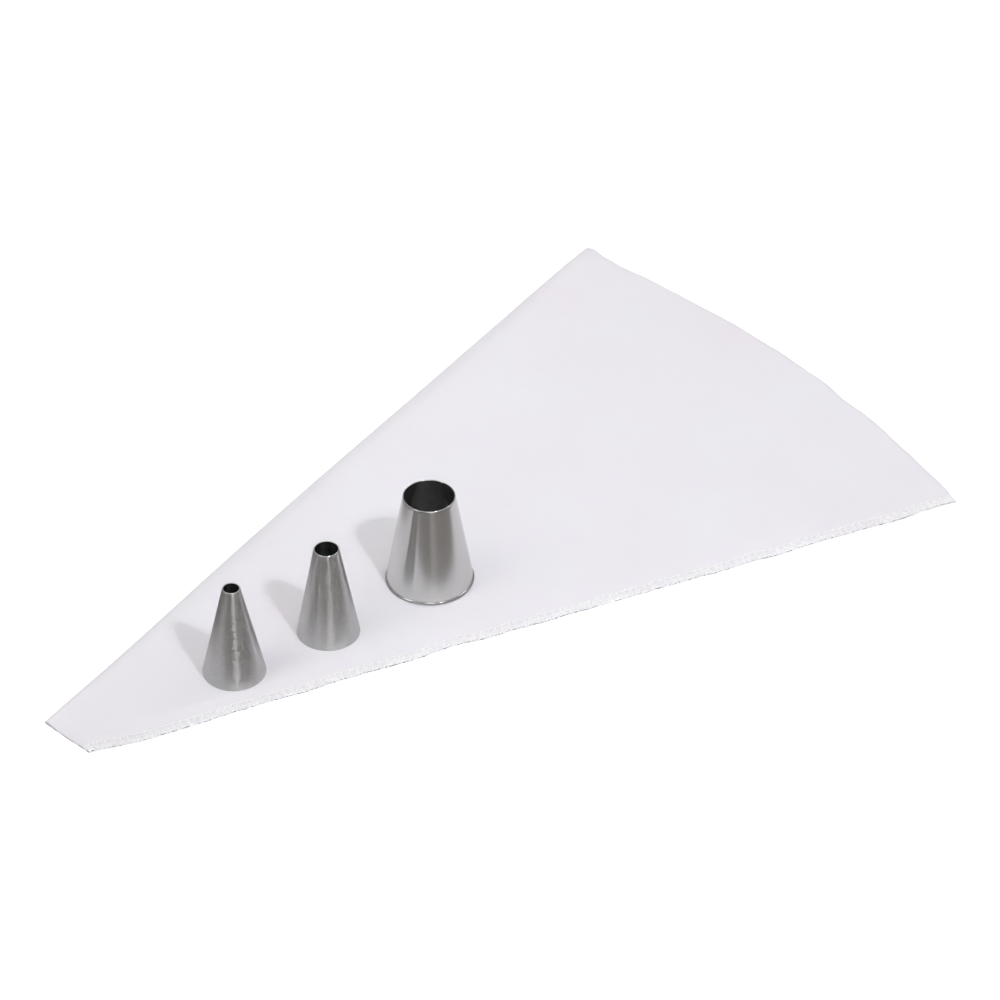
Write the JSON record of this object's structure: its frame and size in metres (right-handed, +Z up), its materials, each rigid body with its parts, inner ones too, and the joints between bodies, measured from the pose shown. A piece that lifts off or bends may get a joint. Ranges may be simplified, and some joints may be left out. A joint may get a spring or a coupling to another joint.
{
  "type": "piping bag",
  "caption": "Flat cone-shaped cloth piping bag with a cut tip, one folded and one overlocked side and a mouth that folds over, with plain round steel nozzles standing on it.",
  "frame": {"origin": "on the table, under the middle of the whole object's box", "axes": "+X along the bag from its cut tip to its mouth, +Y towards its folded side, +Z up off the table"},
  "size_m": [0.4002, 0.2434, 0.0461],
  "materials": {
    "cloth": "matte",
    "thread": "matte",
    "satin_steel": "satin",
    "polished_steel": "polished"
  },
  "bodies": {
    "bag": {"upper_layer": "cloth", "lower_layer": "cloth", "side_fold": "cloth", "needle_thread": "thread", "upper_looper_thread": "thread", "lower_looper_thread": "thread"},
    "mouth_end": {"upper_layer_mouth_end": "cloth", "lower_layer_mouth_end": "cloth", "side_fold_mouth_end": "cloth", "needle_thread_mouth_end": "thread", "upper_looper_thread_mouth_end": "thread", "lower_looper_thread_mouth_end": "thread"},
    "small_nozzle": {"small_nozzle": "satin_steel"},
    "medium_nozzle": {"medium_nozzle": "satin_steel"},
    "large_nozzle": {"large_nozzle": "polished_steel"}
  },
  "joints": [
    {"name": "mouth_fold", "type": "hinge", "parent": "bag", "child": "mouth_end", "pos_m": [0.11986, 0, 0.0042], "axis": [0, -1, 0], "range_deg": [0, 178]},
    {"name": "small_nozzle_lift", "type": "slide", "parent": "bag", "child": "small_nozzle", "axis": [0, 0, 1], "range_m": [0, 0.06]},
    {"name": "medium_nozzle_lift", "type": "slide", "parent": "bag", "child": "medium_nozzle", "axis": [0, 0, 1], "range_m": [0, 0.06]},
    {"name": "large_nozzle_lift", "type": "slide", "parent": "bag", "child": "large_nozzle", "axis": [0, 0, 1], "range_m": [0, 0.06]}
  ]
}
